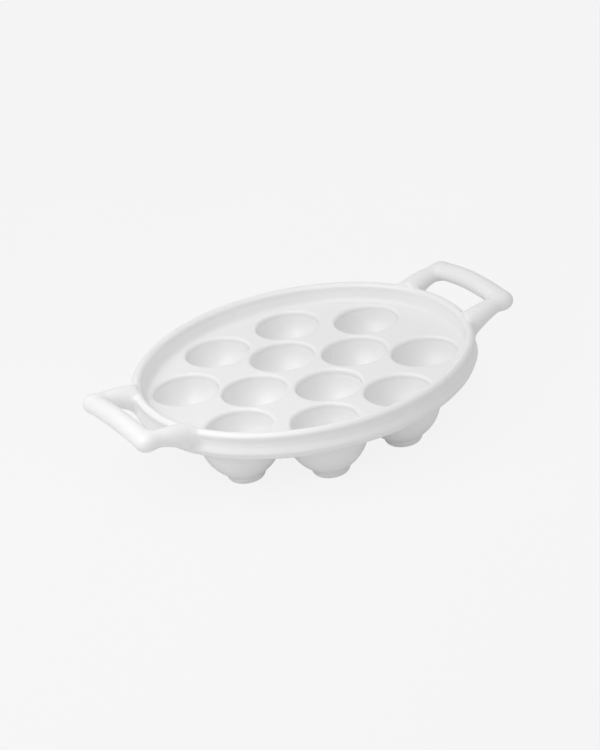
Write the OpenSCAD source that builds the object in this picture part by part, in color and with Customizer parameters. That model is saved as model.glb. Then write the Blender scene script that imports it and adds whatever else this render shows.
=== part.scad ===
// Egg holder tray: a footed porcelain dish with twelve round egg cups and a loop handle at each end.
// The origin is on the table under the middle of the dish, +X runs through the handles, +Z is up.

/* [Dish] */
// half the dish's width, to the middle of the lip
lip_b = 107.6; // [107:0.2:112]
// half the dish's length, to the middle of the lip
lip_a = 117; // [116.6:0.2:121]
// height of the floor's top face over the table
floor_z = 38; // [37:0.5:44]
// thickness of the floor
floor_t = 4.5; // [3.5:0.1:5]

/* [Rim] */
// height of the middle of the lip over the floor
lip_h = 10.6; // [9:0.2:14]
// radius of the rounded lip
lip_r = 2.5; // [2:0.1:2.8]
// radius of the rounded bead along the skirt's lower edge
bead_r = 2.8; // [2.2:0.1:3]
// how far the middle of the bead stands outside the middle of the lip
bead_out = 0.9; // [0.2:0.1:1.6]
// how far the middle of the bead lies under the floor's top face
bead_drop = 0.7; // [0:0.1:1.2]
// depth of the hollow band between the lip and the bead
band_depth = 0.8; // [0.2:0.1:1.2]
// how far the wall's foot stands inside the middle of the lip
wall_in = 4.6; // [4.2:0.1:4.8]
// radius of the cove where the floor turns up into the wall
cove_r = 2.4; // [1.6:0.1:2.4]

/* [Egg cups] */
// inside diameter of a cup
cup_d = 44.8; // [43:0.2:45]
// depth of a cup under the floor's top face
cup_depth = 25; // [24:0.2:30]
// thickness of a cup's wall at its top
cup_wall = 4.5; // [3:0.1:4.8]
// height of the outside of a cup's round bottom over the table
bowl_low = 1.1; // [0.8:0.1:1.6]
// radius that rounds a cup's mouth
mouth_r = 2.2; // [1:0.1:2.2]
// distance of the four end cups from the middle, along the dish
end_x = 74.4; // [74:0.1:75]
// distance of the four end cups from the middle, across the dish
end_y = 36.1; // [36:0.1:36.6]
// distance of the four side cups from the middle, along the dish
side_x = 29.1; // [29:0.1:29.6]
// distance of the four side cups from the middle, across the dish
side_y = 70.2; // [70:0.1:70.6]
// distance of the two inner cups on the long axis from the middle
long_x = 40.6; // [40:0.1:41]
// distance of the two inner cups on the short axis from the middle
short_y = 30.2; // [30:0.1:30.8]

/* [Feet] */
// outside diameter of a foot ring
foot_d = 24.8; // [23:0.2:28]
// diameter of the hollow inside a foot ring
foot_hollow_d = 16; // [10:0.5:16.5]
// height of the hollow's roof over the table
foot_hollow_h = 6.5; // [4:0.1:7]
// radius that rounds a foot ring's lower edge
foot_round = 3.2; // [0.5:0.1:3.3]

/* [Handles] */
// distance from the middle of the dish to a crossbar's axis
handle_reach = 143; // [138:0.5:150]
// distance between the axes of a handle's two arms
handle_w = 75; // [68:0.5:80]
// height of a crossbar's axis over the table
handle_z = 54; // [50:0.5:58]
// height of an arm's axis where it meets the lip
root_z = 43.4; // [42:0.2:44]
// radius of a crossbar and its two corners
bar_r = 6.7; // [5.5:0.1:7.2]
// radius of the bend in a corner's axis
corner_r = 8; // [7.4:0.1:12]
// radius of the flare where an arm joins the rim
flare_r = 8.4; // [7:0.1:8.6]

/* [Hidden] */
$fn = 96;
glaze = [0.95, 0.95, 0.94];
bisque = [0.90, 0.87, 0.82];
arc_n = 10;
overlap = 1;
lip_z = floor_z + lip_h;
bead_b = lip_b + bead_out;
bead_z = floor_z - bead_drop;
wall_b = lip_b - wall_in;
under_z = floor_z - floor_t;
cup_r = cup_d / 2;
shell_r = cup_r + cup_wall;
inner_z = floor_z - cup_depth + cup_r;
bowl_z = bowl_low + shell_r;
cove_z = floor_z + cove_r;
foot_r = foot_d / 2;
hollow_r = foot_hollow_d / 2;
// where a foot ring's outside and hollow meet the round of the cup, as angles about the cup's middle
foot_angle = -acos(foot_r / shell_r);
hollow_angle = -acos(hollow_r / shell_r);
// where the inside of a cup passes the underside of the floor, as an angle about the inside's middle
wall_angle = min(0, asin(min(1, (under_z - inner_z) / cup_r)));
// the oval is four arcs that meet on diagonals: an arc round each end and a flatter one along each side
arc_shift = (lip_a - lip_b) / (2 - sqrt(2));
end_r = lip_a - arc_shift;
side_r = lip_b + arc_shift;
arm_y = handle_w / 2;
root_x = arc_shift + sqrt(pow(end_r, 2) - pow(arm_y, 2));
root_back = 10;
handle_tilt = atan2(handle_z - root_z, handle_reach - root_x);
handle_len = norm([handle_z - root_z, handle_reach - root_x]);
// cup centres, in the order of the nodes' numbers
cups = [
  [-side_x, -side_y],
  [side_x, -side_y],
  [-end_x, -end_y],
  [0, -short_y],
  [end_x, -end_y],
  [-long_x, 0],
  [long_x, 0],
  [-end_x, end_y],
  [0, short_y],
  [end_x, end_y],
  [-side_x, side_y],
  [side_x, side_y],
];

// points on a circle about [c, z] of radius r, from angle a0 to angle a1
function arc(c, z, r, a0, a1, n = arc_n) =
  [for (i = [0 : n]) let (a = a0 + (a1 - a0) * i / n) [c + r * cos(a), z + r * sin(a)]];

// points on a shallow curve from p to q, hollowed towards the axis by depth
function hollow(p, q, depth, n = arc_n) =
  [for (i = [1 : n - 1]) let (t = i / n) p + (q - p) * t - [4 * depth * t * (1 - t), 0]];

bead_arc = arc(bead_b, bead_z, bead_r, -125, 42, 2 * arc_n);
lip_arc = arc(lip_b, lip_z, lip_r, -28, 165, 2 * arc_n);
skirt_face = concat(bead_arc, hollow(bead_arc[2 * arc_n], lip_arc[0], band_depth), lip_arc);

// moves a profile drawn for the dish's short axis out to an arc of another radius
function moved(points, d) = [for (p = points) [p[0] == 0 ? 0 : p[0] + d, p[1]]];

module quarter_turn(points) {
  rotate([0, 0, -45])
    rotate_extrude(angle = 90)
      polygon(points);
}

// sweeps a profile round the oval, as a ring or a plate
module oval(points) {
  for (a = [0, 180])
    rotate([0, 0, a])
      translate([arc_shift, 0, 0])
        quarter_turn(moved(points, end_r - lip_b));
  for (a = [90, 270])
    rotate([0, 0, a])
      translate([-arc_shift, 0, 0])
        quarter_turn(moved(points, side_r - lip_b));
}

// the space one cup takes out of the floor, with a rounded mouth
module mouth_cut() {
  rotate_extrude()
    polygon(concat(
      [[0, under_z - overlap], [cup_r, under_z - overlap]],
      arc(cup_r + mouth_r, floor_z - mouth_r, mouth_r, 180, 90),
      [[cup_r + mouth_r, floor_z + overlap], [0, floor_z + overlap]]
    ));
}

module tray_floor() {
  color(glaze)
    difference() {
      oval(concat(
        [[0, under_z], [wall_b, under_z]],
        arc(wall_b - cove_r, cove_z, cove_r, 0, -90),
        [[0, floor_z]]
      ));
      for (c = cups)
        translate([c[0], c[1], 0])
          mouth_cut();
    }
}

module rim_wall() {
  color(glaze)
    oval(concat([[wall_b, under_z], [wall_b + cove_r, under_z]], skirt_face, [[wall_b, cove_z]]));
}

// half-space block on this cup's side of the midplane to a neighbour at v
module own_side(v) {
  rotate([0, 0, atan2(v[1], v[0])])
    translate([norm(v) / 2 - 3 * shell_r, -2 * shell_r, -overlap])
      cube([3 * shell_r, 4 * shell_r, floor_z]);
}

// neighbouring cups share a wall, so each keeps its own side of the midplane
module egg_cup(c) {
  neighbours = [for (o = cups) if (o != c && norm(o - c) < 2 * shell_r) o - c];
  color(glaze)
    translate([c[0], c[1], 0])
      intersection() {
        rotate_extrude()
          polygon(concat(
            [[0, foot_hollow_h], [hollow_r, foot_hollow_h]],
            arc(0, bowl_z, shell_r, hollow_angle, 0, 2 * arc_n),
            [[shell_r, under_z], [cup_r, under_z]],
            arc(0, inner_z, cup_r, wall_angle, -90, 2 * arc_n)
          ));
        intersection_for (v = neighbours)
          own_side(v);
      }
}

module foot_ring(c) {
  color(bisque)
    translate([c[0], c[1], 0])
      rotate_extrude()
        polygon(concat(
          [[hollow_r, 0]],
          arc(foot_r - foot_round, foot_round, foot_round, -90, 0),
          arc(0, bowl_z, shell_r, foot_angle, hollow_angle)
        ));
}

// one bend of the loop, from the arm at y = arm_y to the crossbar
module corner() {
  translate([handle_len - corner_r, arm_y - corner_r, 0])
    rotate_extrude(angle = 90)
      translate([corner_r, 0])
        circle(r = bar_r);
}

module arm() {
  translate([-root_back, arm_y, 0])
    rotate([0, 90, 0])
      cylinder(r1 = flare_r, r2 = bar_r, h = handle_len - corner_r + root_back);
}

module crossbar() {
  translate([handle_len, arm_y - corner_r, 0])
    rotate([90, 0, 0])
      cylinder(r = bar_r, h = 2 * (arm_y - corner_r));
}

module handle_loop() {
  arm();
  corner();
  crossbar();
  mirror([0, 1, 0])
    corner();
  mirror([0, 1, 0])
    arm();
}

// everything inside the rim's outer face, which the handles stop at
module inside_rim() {
  oval(concat(
    [[0, 0], [bead_b, 0]],
    [for (p = skirt_face) if (p[0] >= bead_b || p[1] > bead_z && (p[0] >= lip_b || p[1] < lip_z)) p],
    [[lip_b, 2 * lip_z], [0, 2 * lip_z]]
  ));
}

module handle_right() {
  color(glaze)
    difference() {
      translate([root_x, 0, root_z])
        rotate([0, -handle_tilt, 0])
          handle_loop();
      inside_rim();
    }
}

module handle_left() {
  mirror([1, 0, 0])
    handle_right();
}

tray_floor();
rim_wall();
handle_left();
handle_right();
egg_cup(cups[0]);  // egg_cup_01
egg_cup(cups[1]);  // egg_cup_02
egg_cup(cups[2]);  // egg_cup_03
egg_cup(cups[3]);  // egg_cup_04
egg_cup(cups[4]);  // egg_cup_05
egg_cup(cups[5]);  // egg_cup_06
egg_cup(cups[6]);  // egg_cup_07
egg_cup(cups[7]);  // egg_cup_08
egg_cup(cups[8]);  // egg_cup_09
egg_cup(cups[9]);  // egg_cup_10
egg_cup(cups[10]);  // egg_cup_11
egg_cup(cups[11]);  // egg_cup_12
foot_ring(cups[0]);  // foot_ring_01
foot_ring(cups[1]);  // foot_ring_02
foot_ring(cups[2]);  // foot_ring_03
foot_ring(cups[3]);  // foot_ring_04
foot_ring(cups[4]);  // foot_ring_05
foot_ring(cups[5]);  // foot_ring_06
foot_ring(cups[6]);  // foot_ring_07
foot_ring(cups[7]);  // foot_ring_08
foot_ring(cups[8]);  // foot_ring_09
foot_ring(cups[9]);  // foot_ring_10
foot_ring(cups[10]);  // foot_ring_11
foot_ring(cups[11]);  // foot_ring_12
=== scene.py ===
"""Looks for the porcelain egg holder tray: one smooth glazed skin over the CAD frame, cut into its members.

The dish is described once as a signed distance in millimetres, with every member blended into the next
the way fired clay is. Its surface is meshed, settled onto the exact shape, and cut along the members'
seams into closed pieces, one for each CAD node. Sizes and places come from the CAD boxes; the rest are
named below.
"""

import math

import bpy
import numpy as np
import openvdb
from mathutils import Matrix, Vector


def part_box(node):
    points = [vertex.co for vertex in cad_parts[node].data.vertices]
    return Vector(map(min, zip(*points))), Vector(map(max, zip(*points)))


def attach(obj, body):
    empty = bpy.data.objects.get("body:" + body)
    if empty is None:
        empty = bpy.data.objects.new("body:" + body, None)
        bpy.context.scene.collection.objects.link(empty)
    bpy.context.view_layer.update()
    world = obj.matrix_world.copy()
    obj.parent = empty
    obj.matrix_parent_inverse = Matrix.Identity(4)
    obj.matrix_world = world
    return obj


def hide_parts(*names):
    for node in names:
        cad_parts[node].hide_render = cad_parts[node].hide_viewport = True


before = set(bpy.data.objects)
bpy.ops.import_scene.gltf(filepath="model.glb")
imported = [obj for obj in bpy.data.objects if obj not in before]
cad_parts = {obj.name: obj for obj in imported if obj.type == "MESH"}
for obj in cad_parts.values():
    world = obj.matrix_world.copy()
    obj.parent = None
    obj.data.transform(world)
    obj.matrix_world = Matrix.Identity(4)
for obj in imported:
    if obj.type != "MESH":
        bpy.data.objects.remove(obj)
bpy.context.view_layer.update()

MM = 0.001
VOXEL = 1.1

# ---------------------------------------------------------------- places and sizes, from the CAD, in mm


def box_mm(node):
    lo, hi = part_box(node)
    return np.array(lo) / MM, np.array(hi) / MM


BEAD_OUT, BEAD_R, LIP_R = 0.9, 2.8, 2.5
rim_hi = box_mm("rim_wall")[1]
floor_lo = box_mm("tray_floor")[0]
bar_hi = box_mm("handle_right")[1]
ring_boxes = [box_mm("foot_ring_%02d" % n) for n in range(1, 13)]

CUPS = [(lo + hi)[:2] / 2 for lo, hi in ring_boxes]
HALF_X, HALF_Y = rim_hi[0] - BEAD_OUT - BEAD_R, rim_hi[1] - BEAD_OUT - BEAD_R
LIP_Z = rim_hi[2] - LIP_R
UNDER_Z = floor_lo[2]
FLOOR_Z = UNDER_Z + 4.5
BEAD_Z = FLOOR_Z - 0.7
FOOT_R = (ring_boxes[0][1] - ring_boxes[0][0])[0] / 2
WALL_IN = 4.6
# how much fuller and lower the blended bead is than the CAD's round one
FULLER, BEAD_SAG = 0.4, 0.5

CUP_R, CUP_WALL, CUP_DEPTH, CUP_LOW = 22.4, 4.5, 25.0, 1.1
BOWL_Z = CUP_LOW + CUP_R + CUP_WALL
# two would be a round bowl; less runs straighter down to the foot
BOWL_POWER = 1.8
FOOT_HOLLOW_R, FOOT_HOLLOW_H, FOOT_ROUND = 8.0, 6.5, 3.2
# where the skin is cut into members: heights, and distances outside the lip's line
FOOT_TOP, CUP_TOP = 4.4, 31.0
FLOOR_SEAM, HANDLE_SEAM = -6.6, 4.2

# ---------------------------------------------------------------- the dish as a signed distance


def blend_min(a, b, k):
    """The nearer of two distances, with a fillet about k wide where they meet."""
    h = np.clip(0.5 + 0.5 * (b - a) / k, 0, 1)
    return b + (a - b) * h - k * h * (1 - h)


def blend_max(a, b, k):
    return -blend_min(-a, -b, k)


def off_oval(x, y):
    """Distance outside the lip's centre line, an oval of four arcs that meet on diagonals."""
    shift = (HALF_X - HALF_Y) / (2 - math.sqrt(2))
    end = np.hypot(x - shift, y) - (HALF_X - shift)
    side = np.hypot(x, y + shift) - (HALF_Y + shift)
    return np.where(x - shift > y, end, side)


def dish(o, z):
    """Floor, wall, lip and bead, from their section: o is the distance outside the lip's line."""
    lip = np.hypot(o, z - LIP_Z) - LIP_R
    bead = np.hypot(o - BEAD_OUT + FULLER, z - BEAD_Z + BEAD_SAG) - BEAD_R - FULLER
    t = np.clip((z - BEAD_Z) / (LIP_Z - BEAD_Z), 0, 1)
    outer = BEAD_OUT + BEAD_R + (LIP_R - BEAD_OUT - BEAD_R) * t - 3.0 * t * (1 - t)
    u = np.clip((z - FLOOR_Z) / (LIP_Z - FLOOR_Z), 0, 1)
    inner = -WALL_IN + (WALL_IN - LIP_R) * u
    wall = blend_max(np.maximum(o - outer, inner - o), np.maximum(z - LIP_Z, BEAD_Z - z), 1.0)
    rim = blend_min(np.minimum(lip, bead), wall, 2.4)
    slab = np.maximum(np.maximum(z - FLOOR_Z, UNDER_Z - z), o)
    cove = 6.0 - 2.4 * np.clip((z - UNDER_Z) / (FLOOR_Z - UNDER_Z), 0, 1)
    return blend_min(slab, rim, cove)


def cup_fields(x, y, z):
    """Outside of the cups with their foot rings, and the hollows inside them."""
    shell, hollow = np.full_like(x, 1e3), np.full_like(x, 1e3)
    inside_z = FLOOR_Z - CUP_DEPTH + CUP_R
    for cx, cy in {(abs(round(c[0], 3)), abs(round(c[1], 3))) for c in CUPS}:
        r = np.hypot(x - cx, y - cy)
        deep = np.maximum(BOWL_Z - z, 0)
        lobe = (r ** BOWL_POWER + deep ** BOWL_POWER) ** (1 / BOWL_POWER)
        body = np.maximum(lobe - CUP_R - CUP_WALL, z - FLOOR_Z + 4)
        edge = np.hypot(np.maximum(r - FOOT_R + FOOT_ROUND, 0), np.minimum(z - FOOT_ROUND, 0)) - FOOT_ROUND
        foot = blend_min(body, np.maximum(edge, z - 8.0), 1.2)
        recess = blend_max(r - FOOT_HOLLOW_R, z - FOOT_HOLLOW_H, 3.0)
        shell = blend_min(shell, blend_max(foot, -recess, 1.8), 2.5)
        hollow = np.minimum(hollow, np.hypot(r, np.minimum(z - inside_z, 0)) - CUP_R)
    return shell, hollow


BAR_X, BAR_Z = bar_hi[0] - 6.7, bar_hi[2] - 6.7
ROOT, BEND = np.array([108.7, 36.3, 43.4]), np.array([BAR_X - 0.8, 36.4, BAR_Z - 1.6])
ARM_RISE, BAR_BOW = np.array([0, 2.2, 4.6]), np.array([2.1, 0, 5.5])


def bow(p, q, lift, n):
    """Points from p to q along a shallow bow through the middle plus lift."""
    t = np.linspace(0, 1, n)[:, None]
    return (1 - t) * p + t * q + 2 * t * (1 - t) * lift


def member(x, y, z, points, wide, high):
    """Distance to an oval rod along points; wide and high are its half width and half height at each."""
    d = np.full_like(x, 1e3)
    for i in range(len(points) - 1):
        a, ab = points[i], points[i + 1] - points[i]
        t = np.clip(((x - a[0]) * ab[0] + (y - a[1]) * ab[1] + (z - a[2]) * ab[2]) / (ab @ ab), 0, 1)
        w, h = wide[i] + (wide[i + 1] - wide[i]) * t, high[i] + (high[i + 1] - high[i]) * t
        flat = (x - a[0] - t * ab[0]) ** 2 + (y - a[1] - t * ab[1]) ** 2
        up = (z - a[2] - t * ab[2]) ** 2
        k, g = np.sqrt(flat / w ** 2 + up / h ** 2), np.sqrt(flat / w ** 4 + up / h ** 4)
        d = np.minimum(d, np.where(g > 1e-9, k * (k - 1) / np.maximum(g, 1e-9), -np.minimum(w, h)))
    return d


def handle(x, y, z):
    """One arm, flaring into the rim, and half of the crossbar."""
    taper = np.linspace(1, 0, 9) ** 1.5
    arm = member(x, y, z, bow(ROOT, BEND, ARM_RISE, 9), 5.8 + 4.1 * taper, 5.3 + 4.3 * taper)
    half_bar = bow(BEND, BEND * [1, -1, 1], BAR_BOW, 9)[:5]
    bar = member(x, y, z, half_bar, np.linspace(7.6, 6.8, 5), np.linspace(6.1, 6.9, 5))
    return blend_min(arm, bar, 4.0)


def quarter_shape(x, y, z):
    """The whole tray, for points with x and y not negative."""
    o = off_oval(x, y)
    shell, hollow = cup_fields(x, y, z)
    d = blend_max(blend_min(dish(o, z), shell, 3.0), -hollow, 2.5)
    near = x > 85
    arm = blend_max(handle(x[near], y[near], z[near]), -1.0 - o[near], 3.0)
    d[near] = blend_min(d[near], arm, 1.0 + 2.6 * np.clip((o[near] + 1.0) / 4.0, 0, 1))
    return d


def clay_wave(p):
    """Slow unevenness a hand-finished casting keeps after firing, under two tenths of a millimetre."""
    x, y, z = p[:, 0], p[:, 1], p[:, 2]
    wave = np.sin(x / 17.0 + 1.3 * np.sin(y / 29.0)) * np.sin(y / 13.0 + 0.8 + np.sin(x / 41.0))
    return 0.09 * wave + 0.05 * np.sin(x / 7.3 + y / 9.1 + z / 8.0)


def shape(p):
    return quarter_shape(np.abs(p[:, 0]), np.abs(p[:, 1]), p[:, 2]) + clay_wave(p)


def gradient(p, step=0.05):
    g = np.empty_like(p)
    for axis in range(3):
        d = np.zeros(3)
        d[axis] = step
        g[:, axis] = (shape(p + d) - shape(p - d)) / (2 * step)
    return g


def bend(p, reach=1.6):
    """How sharply the glaze turns at each point: above zero on edges, below zero in hollows."""
    near = np.zeros(len(p))
    for axis in range(3):
        d = np.zeros(3)
        d[axis] = reach
        near += shape(p + d) + shape(p - d)
    return np.clip(near / reach, -2, 2)


# ---------------------------------------------------------------- meshing


def skin():
    """The tray's whole surface as points and quads, settled onto the exact shape."""
    nx, ny = int(152 / VOXEL) + 2, int(113 / VOXEL) + 2
    z = np.arange(int(-3 / VOXEL) - 1, int(66 / VOXEL) + 1) * VOXEL
    x, y, z3 = np.meshgrid(np.arange(nx) * VOXEL, np.arange(ny) * VOXEL, z, indexing="ij")
    d = quarter_shape(x.ravel(), y.ravel(), z3.ravel()).reshape(x.shape)
    d = np.concatenate([d[:0:-1], d])
    d = np.concatenate([d[:, :0:-1], d], axis=1)
    grid = openvdb.FloatGrid(10.0)
    grid.copyFromArray(np.clip(d, -6, 6).astype(np.float32))
    points, quads = grid.convertToQuads(isovalue=0.0)
    points = points.astype(float) * VOXEL + [-(nx - 1) * VOXEL, -(ny - 1) * VOXEL, z[0]]
    for _ in range(3):
        g = gradient(points)
        pull = shape(points) / np.maximum((g ** 2).sum(1), 0.2)
        points -= g * np.clip(pull, -1, 1)[:, None]
    points[:, 2] = np.maximum(points[:, 2], 0)
    return points, quads


def mesh_object(name, points, faces):
    mesh = bpy.data.meshes.new(name)
    mesh.from_pydata([tuple(p) for p in points], [], [tuple(f) for f in faces])
    mesh.update()
    obj = bpy.data.objects.new(name, mesh)
    bpy.context.scene.collection.objects.link(obj)
    return obj


def prism(name, outline, low, high):
    """Closed upright block over an outline that runs counter-clockwise."""
    n = len(outline)
    points = [(x, y, low) for x, y in outline] + [(x, y, high) for x, y in outline]
    sides = [(i, (i + 1) % n, n + (i + 1) % n, n + i) for i in range(n)]
    return mesh_object(name, points, [tuple(range(n - 1, -1, -1)), tuple(range(n, 2 * n))] + sides)


def oval_outline(offset, n=720):
    """Points of the lip's oval moved outwards by offset."""
    shift = (HALF_X - HALF_Y) / (2 - math.sqrt(2))
    outline = []
    for i in range(n):
        a = 2 * math.pi * i / n
        c, s = math.cos(a), math.sin(a)
        if abs(c) > abs(s):
            r, ox, oy = HALF_X - shift + offset, math.copysign(shift, c), 0.0
        else:
            r, ox, oy = HALF_Y + shift + offset, 0.0, -math.copysign(shift, s)
        outline.append((ox + r * c, oy + r * s))
    return outline


def cut(source, tool, operation, name):
    """A new object: source with the tool's block kept or taken away."""
    part = bpy.data.objects.new(name, source.data.copy())
    bpy.context.scene.collection.objects.link(part)
    mod = part.modifiers.new("cut", "BOOLEAN")
    mod.object, mod.operation, mod.solver = tool, operation, "MANIFOLD"
    bpy.context.view_layer.update()
    mesh = bpy.data.meshes.new_from_object(part.evaluated_get(bpy.context.evaluated_depsgraph_get()))
    part.modifiers.clear()
    old, part.data = part.data, mesh
    bpy.data.meshes.remove(old)
    return part


def discard(*objects):
    for obj in objects:
        bpy.data.objects.remove(obj, do_unlink=True)


def cell_outline(centre, reach=42.0):
    """The floor area nearer to this cup than to any other, so neighbours part on their midplane."""
    outline = [np.array(c) for c in ((-reach, -reach), (reach, -reach), (reach, reach), (-reach, reach))]
    for other in CUPS:
        v = other - centre
        if 0 < np.linalg.norm(v) < 2 * reach:
            outline = clip_outline(outline, v)
    return [tuple(centre + p) for p in outline]


def clip_outline(outline, v):
    """Keeps the part of an outline on the near side of the midplane to v."""
    half = v @ v / 2
    kept = []
    for p, q in zip(outline, outline[1:] + outline[:1]):
        dp, dq = half - p @ v, half - q @ v
        if dp >= 0:
            kept.append(p)
        if dp * dq < 0:
            kept.append(p + (q - p) * dp / (dp - dq))
    return kept


def smooth_glaze(obj):
    """Exact normals on glazed faces, flat ones on the hidden seams, and metres for millimetres."""
    mesh = obj.data
    mesh.polygons.foreach_set("use_smooth", [True] * len(mesh.polygons))
    co = np.empty(len(mesh.vertices) * 3)
    mesh.vertices.foreach_get("co", co)
    co = co.reshape(-1, 3)
    g = gradient(co)
    g /= np.maximum(np.linalg.norm(g, axis=1, keepdims=True), 1e-9)
    face_n = np.empty(len(mesh.polygons) * 3)
    mesh.polygons.foreach_get("normal", face_n)
    face_n = face_n.reshape(-1, 3)
    size = np.empty(len(mesh.polygons), int)
    mesh.polygons.foreach_get("loop_total", size)
    corner = np.empty(len(mesh.loops), int)
    mesh.loops.foreach_get("vertex_index", corner)
    of_face = np.repeat(np.arange(len(size)), size)
    normals = g[corner]
    seam = (normals * face_n[of_face]).sum(1) < 0.35
    normals[seam] = face_n[of_face][seam]
    mesh.normals_split_custom_set([tuple(n) for n in normals])
    curve = mesh.attributes.new("curve", "FLOAT", "POINT")
    curve.data.foreach_set("value", bend(co))
    mesh.transform(Matrix.Scale(MM, 4))


def build_members():
    """Every member of the tray as its own closed object, by node name."""
    points, quads = skin()
    whole = mesh_object("whole", points, quads)
    far = 200.0
    square = [(-far, -far), (far, -far), (far, far), (-far, far)]
    above, below = prism("above", square, CUP_TOP, far), prism("below", square, -far, FOOT_TOP)
    outside = prism("outside", oval_outline(HANDLE_SEAM), -far, far)
    inside = prism("inside", oval_outline(FLOOR_SEAM), -far, far)
    top, under = cut(whole, above, "INTERSECT", "top"), cut(whole, above, "DIFFERENCE", "under")
    feet, bowls = cut(under, below, "INTERSECT", "feet"), cut(under, below, "DIFFERENCE", "bowls")
    grips, plate = cut(top, outside, "DIFFERENCE", "grips"), cut(top, outside, "INTERSECT", "plate")
    members = {
        "tray_floor": cut(plate, inside, "INTERSECT", "tray_floor"),
        "rim_wall": cut(plate, inside, "DIFFERENCE", "rim_wall"),
    }
    right = prism("right", [(0, -far), (far, -far), (far, far), (0, far)], -far, far)
    members["handle_right"] = cut(grips, right, "INTERSECT", "handle_right")
    members["handle_left"] = cut(grips, right, "DIFFERENCE", "handle_left")
    for n, centre in enumerate(CUPS, 1):
        cell = prism("cell", cell_outline(centre), -far, far)
        members["egg_cup_%02d" % n] = cut(bowls, cell, "INTERSECT", "cup_%02d" % n)
        members["foot_ring_%02d" % n] = cut(feet, cell, "INTERSECT", "foot_%02d" % n)
        discard(cell)
    discard(whole, above, below, outside, inside, top, under, feet, bowls, grips, plate, right)
    for obj in members.values():
        smooth_glaze(obj)
    return members


# ---------------------------------------------------------------- materials


class Nodes:
    """Short way to add and link shader nodes."""

    def __init__(self, name):
        self.material = bpy.data.materials.new(name)
        self.material.use_nodes = True
        self.tree = self.material.node_tree
        self.shader = self.tree.nodes["Principled BSDF"]

    def add(self, kind, settings=None, **inputs):
        node = self.tree.nodes.new("ShaderNode" + kind)
        for key, value in (settings or {}).items():
            setattr(node, key, value)
        for key, value in inputs.items():
            self.put(node, key.replace("_", " "), value)
        return node

    def put(self, node, socket, value):
        numbered = socket[0] == "n" and socket[1:].isdigit()
        target = node.inputs[int(socket[1:]) if numbered else socket]
        if isinstance(value, bpy.types.NodeSocket):
            self.tree.links.new(value, target)
        else:
            target.default_value = value

    def noise(self, where, scale, detail=2.0, rough=0.5):
        return self.add("TexNoise", Vector=where, Scale=scale, Detail=detail, Roughness=rough).outputs["Fac"]

    def ramp(self, value, low, high, out_low=0.0, out_high=1.0):
        return self.add("MapRange", n0=value, n1=low, n2=high, n3=out_low, n4=out_high).outputs[0]

    def math(self, operation, a, b=0.0):
        return self.add("Math", {"operation": operation}, n0=a, n1=b).outputs[0]

    def mix(self, factor, a, b):
        node = self.add("Mix", {"data_type": "RGBA"}, n0=factor, n6=a, n7=b)
        return node.outputs[2]


GLAZE = (0.885, 0.885, 0.883, 1)
GLAZE_POOL = (0.855, 0.862, 0.866, 1)
GLAZE_THIN = (0.90, 0.895, 0.885, 1)
BISQUE = (0.80, 0.755, 0.68, 1)
# weight of the clear coat over the glaze
GLOSS = 0.35


def porcelain(name, bare_feet=False):
    """White glaze, a little cooler in hollows and warmer on edges, with orange peel and pinholes."""
    m = Nodes(name)
    where = m.add("TexCoord").outputs["Object"]
    cloud = m.noise(where, 26.0, 3.0)
    turn = m.add("Attribute", {"attribute_name": "curve"}).outputs["Fac"]
    colour = m.mix(m.ramp(cloud, 0.3, 0.75, 0.0, 0.14), GLAZE, GLAZE_POOL)
    colour = m.mix(m.ramp(turn, 0.5, 1.6), colour, GLAZE_THIN)
    colour = m.mix(m.ramp(turn, -0.2, -1.2, 0.0, 0.8), colour, GLAZE_POOL)
    rough = m.ramp(m.noise(where, 90.0, 2.0), 0.3, 0.7, 0.32, 0.40)
    peel = m.noise(where, 420.0, 2.0, 0.45)
    swell = m.noise(where, 60.0, 1.0)
    spots = m.add("TexVoronoi", {"feature": "F1"}, Vector=where, Scale=150.0).outputs["Distance"]
    hole = m.math("MULTIPLY", m.ramp(spots, 0.0, 0.05), 0.12)
    height = m.math("ADD", m.math("MULTIPLY", peel, 0.35), m.math("ADD", swell, hole))
    coat = GLOSS
    if bare_feet:
        place = m.add("SeparateXYZ", Vector=where).outputs["Z"]
        edge = m.math("ADD", place, m.ramp(m.noise(where, 320.0), 0.3, 0.7, -0.0001, 0.0001))
        bare = m.ramp(edge, 0.0004, 0.0002)
        grain = m.noise(where, 1800.0, 4.0, 0.7)
        colour = m.mix(bare, colour, m.mix(grain, BISQUE, (0.70, 0.655, 0.585, 1)))
        rough = m.add("Mix", {"data_type": "FLOAT"}, n0=bare, n2=rough, n3=0.75).outputs[0]
        coat = m.math("MULTIPLY", GLOSS, m.math("SUBTRACT", 1.0, bare))
        height = m.math("ADD", height, m.math("MULTIPLY", grain, m.math("MULTIPLY", bare, 2.0)))
    bump = m.add("Bump", Strength=0.35, Distance=0.00012, Height=height)
    for socket, value in (
        ("Base Color", colour), ("Roughness", rough), ("Normal", bump.outputs[0]), ("IOR", 1.5),
        ("Coat Weight", coat), ("Coat Roughness", 0.07), ("Coat IOR", 1.45),
    ):
        m.put(m.shader, socket, value)
    return m.material


# share of the floor's light that is its own, as the camera sees it and as the tray does
FLOOR_GLOW, FLOOR_BOUNCE = 0.93, 0.2


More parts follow.
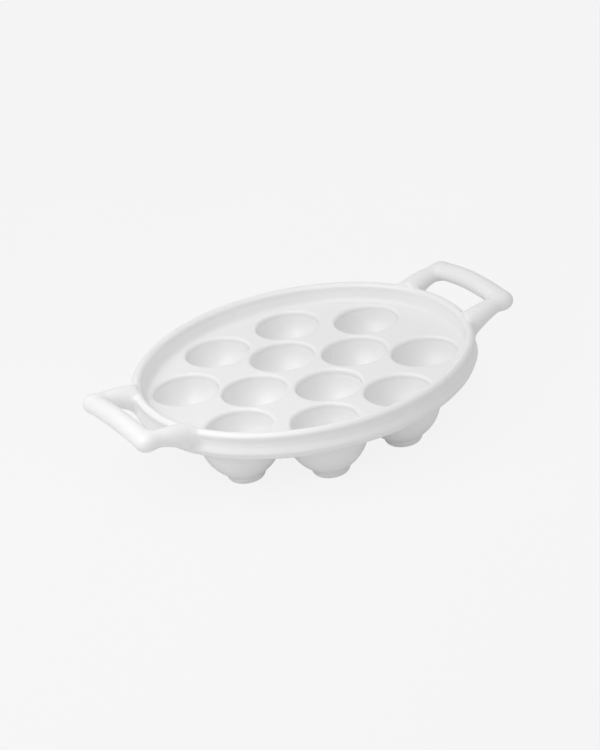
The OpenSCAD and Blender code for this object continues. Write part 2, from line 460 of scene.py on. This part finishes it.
def studio_floor():
    """Plain pale sheet, evenly bright to the camera, a little darker to the tray, and clear from below."""
    bpy.ops.mesh.primitive_plane_add(size=12.0, location=(0, 0, -0.0002))
    floor = bpy.context.object
    floor.name = "studio_floor"
    m = Nodes("studio_paper")
    where = m.add("TexCoord").outputs["Object"]
    seen = m.add("LightPath").outputs["Is Camera Ray"]
    tone = m.mix(m.noise(where, 3.0), (0.918, 0.918, 0.918, 1), (0.932, 0.932, 0.932, 1))
    m.put(m.shader, "Base Color", m.mix(seen, (0.75, 0.75, 0.75, 1), tone))
    m.put(m.shader, "Roughness", 0.9)
    m.put(m.shader, "Specular IOR Level", 0.1)
    glow = m.add("Emission", Color=tone, Strength=1.0)
    share = m.ramp(seen, 0.0, 1.0, FLOOR_BOUNCE, FLOOR_GLOW)
    even = m.add("MixShader", n0=share, n1=m.shader.outputs[0], n2=glow.outputs[0])
    clear = m.add("BsdfTransparent")
    back = m.add("NewGeometry").outputs["Backfacing"]
    both = m.add("MixShader", n0=back, n1=even.outputs[0], n2=clear.outputs[0])
    m.tree.links.new(both.outputs[0], m.tree.nodes["Material Output"].inputs["Surface"])
    floor.data.materials.append(m.material)


# ---------------------------------------------------------------- light and camera


LAMP_AIM = Vector((0, 0, 0.03))
# name: degrees round from the camera (below zero is its left), degrees up, metres away, metres wide, watts
LAMPS = {
    "near_left": (-60, 45, 0.55, 0.5, 0.5),
    "near_front": (-30, 50, 0.55, 0.5, 0.33),
    "near_top": (-75, 70, 0.55, 0.5, 0.34),
    "wide_top": (-75, 65, 1.1, 1.4, 1.24),
}
SURROUND = 0.62


def direction(azimuth, elevation):
    flat = math.cos(elevation)
    return Vector((flat * math.cos(azimuth), flat * math.sin(azimuth), math.sin(elevation)))


def soft_lamp(name, azimuth, elevation, away, size, watts):
    """A wide disk of light that faces the tray."""
    data = bpy.data.lights.new(name, "AREA")
    data.shape, data.size, data.energy = "DISK", size, watts
    way = direction(azimuth, elevation)
    lamp = bpy.data.objects.new(name, data)
    lamp.location = LAMP_AIM + way * away
    lamp.rotation_euler = way.to_track_quat("Z", "Y").to_euler()
    bpy.context.scene.collection.objects.link(lamp)


def studio(azimuth):
    """Soft lamps on the camera's left, near enough to fade across the tray, in an even pale surround."""
    world = bpy.data.worlds.new("surround")
    world.use_nodes = True
    world.node_tree.nodes["Background"].inputs["Color"].default_value = (1, 1, 1, 1)
    world.node_tree.nodes["Background"].inputs["Strength"].default_value = SURROUND
    bpy.context.scene.world = world
    for name, (turn, up, *lamp) in LAMPS.items():
        soft_lamp(name, azimuth + math.radians(turn), math.radians(up), *lamp)


# angles in degrees, distance and aim in metres, lens in millimetres on a 36 mm sensor
CAMERA = {
    "azimuth": -118.547, "elevation": 26.551, "roll": -7.957,
    "distance": 1.5036, "aim": (0.00094, 0.01016, 0.03), "lens": 104.62,
}


def photo_camera():
    """A long lens a metre and a half away, tilted a little about its axis as in the picture."""
    azimuth = math.radians(CAMERA["azimuth"])
    away = direction(azimuth, math.radians(CAMERA["elevation"]))
    cam = bpy.data.objects.new("camera", bpy.data.cameras.new("camera"))
    cam.data.sensor_width = 36
    cam.data.lens = CAMERA["lens"]
    tilt = Matrix.Rotation(math.radians(CAMERA["roll"]), 3, "Z")
    cam.rotation_euler = (away.to_track_quat("Z", "Y").to_matrix() @ tilt).to_euler()
    cam.location = Vector(CAMERA["aim"]) + away * CAMERA["distance"]
    bpy.context.scene.collection.objects.link(cam)
    bpy.context.scene.camera = cam
    return azimuth


# ---------------------------------------------------------------- assembly

glazed, footed = porcelain("white_glaze"), porcelain("glaze_and_bare_foot", bare_feet=True)
for node, piece in build_members().items():
    piece.name = "porcelain_" + node
    piece.data.materials.clear()
    piece.data.materials.append(footed if node.startswith("foot") else glazed)
    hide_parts(node)
    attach(piece, "root")

studio_floor()
studio(photo_camera())
bpy.context.scene.view_settings.view_transform = "Standard"
